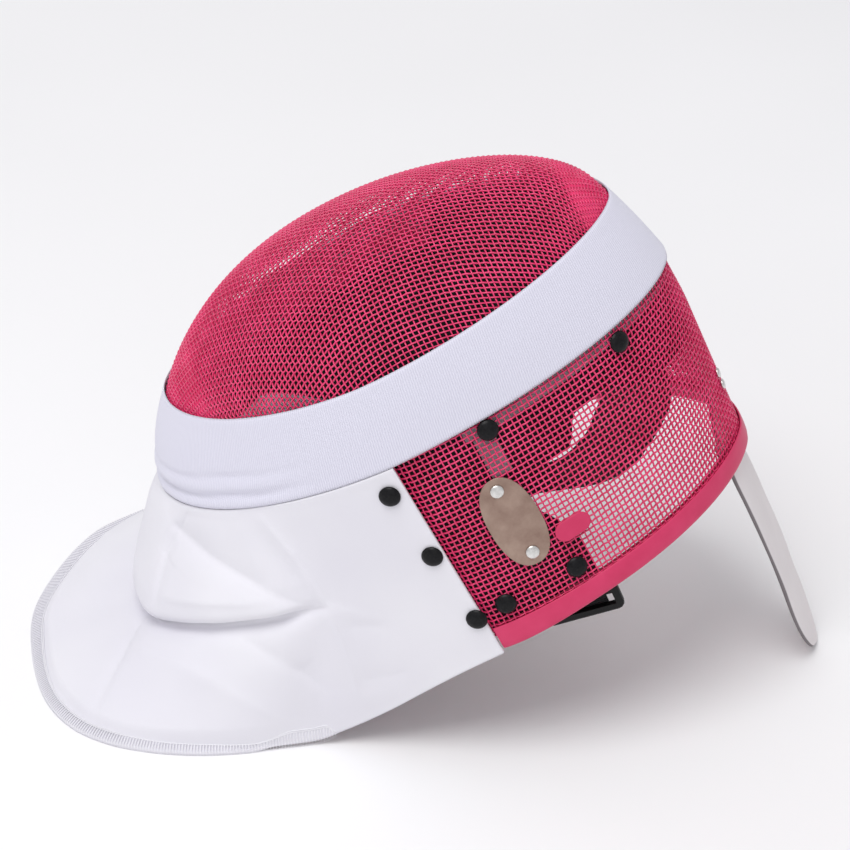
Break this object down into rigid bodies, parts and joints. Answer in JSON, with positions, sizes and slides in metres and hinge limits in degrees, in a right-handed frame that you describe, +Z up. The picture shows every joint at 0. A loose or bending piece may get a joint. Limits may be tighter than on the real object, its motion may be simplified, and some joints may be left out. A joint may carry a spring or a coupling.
{
  "type": "fencing mask",
  "caption": "Fencing mask lying face up: a domed wire cloth cage with a white trim band, a padded flared bib, a lining, a rear strap and a covered spring tongue.",
  "frame": {"origin": "middle of the mask's outline on the surface that it lies on", "axes": "+X from the chin to the crown, +Z up out of the surface, -Y on the wearer's left side"},
  "size_m": [0.4597, 0.2645, 0.304],
  "materials": {
    "painted_wire": "pink painted wire cloth",
    "white_webbing": "ribbed white webbing",
    "pink_binding": "smooth pink vinyl",
    "white_cloth": "padded white cloth",
    "black_snap": "gloss black",
    "bronze_plate": "bronze coloured, bare",
    "rivet_steel": "bright",
    "black_lining": "padded, matte",
    "grey_edging": "woven tape",
    "tongue_cover": "white covering",
    "black_elastic": "woven elastic",
    "black_plastic": "moulded"
  },
  "bodies": {
    "root": {"face_mesh": "painted_wire", "side_mesh": "painted_wire", "trim_band": "white_webbing", "rim_binding": "pink_binding", "bib": "white_cloth", "id_plate": "bronze_plate", "id_rivet_1": "rivet_steel", "id_rivet_2": "rivet_steel", "strap_tab": "pink_binding", "lining": "black_lining", "lining_edge": "grey_edging", "lining_strap_near": "grey_edging", "lining_strap_far": "grey_edging", "tongue": "tongue_cover", "crown_rivet_1": "rivet_steel", "crown_rivet_2": "rivet_steel", "strap_buckle": "black_plastic", "rear_strap": "black_elastic", "strap_anchor": "black_elastic", "bib_snap_near_1": "black_snap", "bib_snap_near_2": "black_snap", "bib_snap_near_3": "black_snap", "mesh_snap_near_1": "black_snap", "mesh_snap_near_2": "black_snap", "mesh_snap_near_3": "black_snap", "mesh_snap_near_4": "black_snap", "bib_snap_far_1": "black_snap", "bib_snap_far_2": "black_snap", "bib_snap_far_3": "black_snap", "mesh_snap_far_1": "black_snap", "mesh_snap_far_2": "black_snap", "mesh_snap_far_3": "black_snap", "mesh_snap_far_4": "black_snap"}
  },
  "joints": []
}
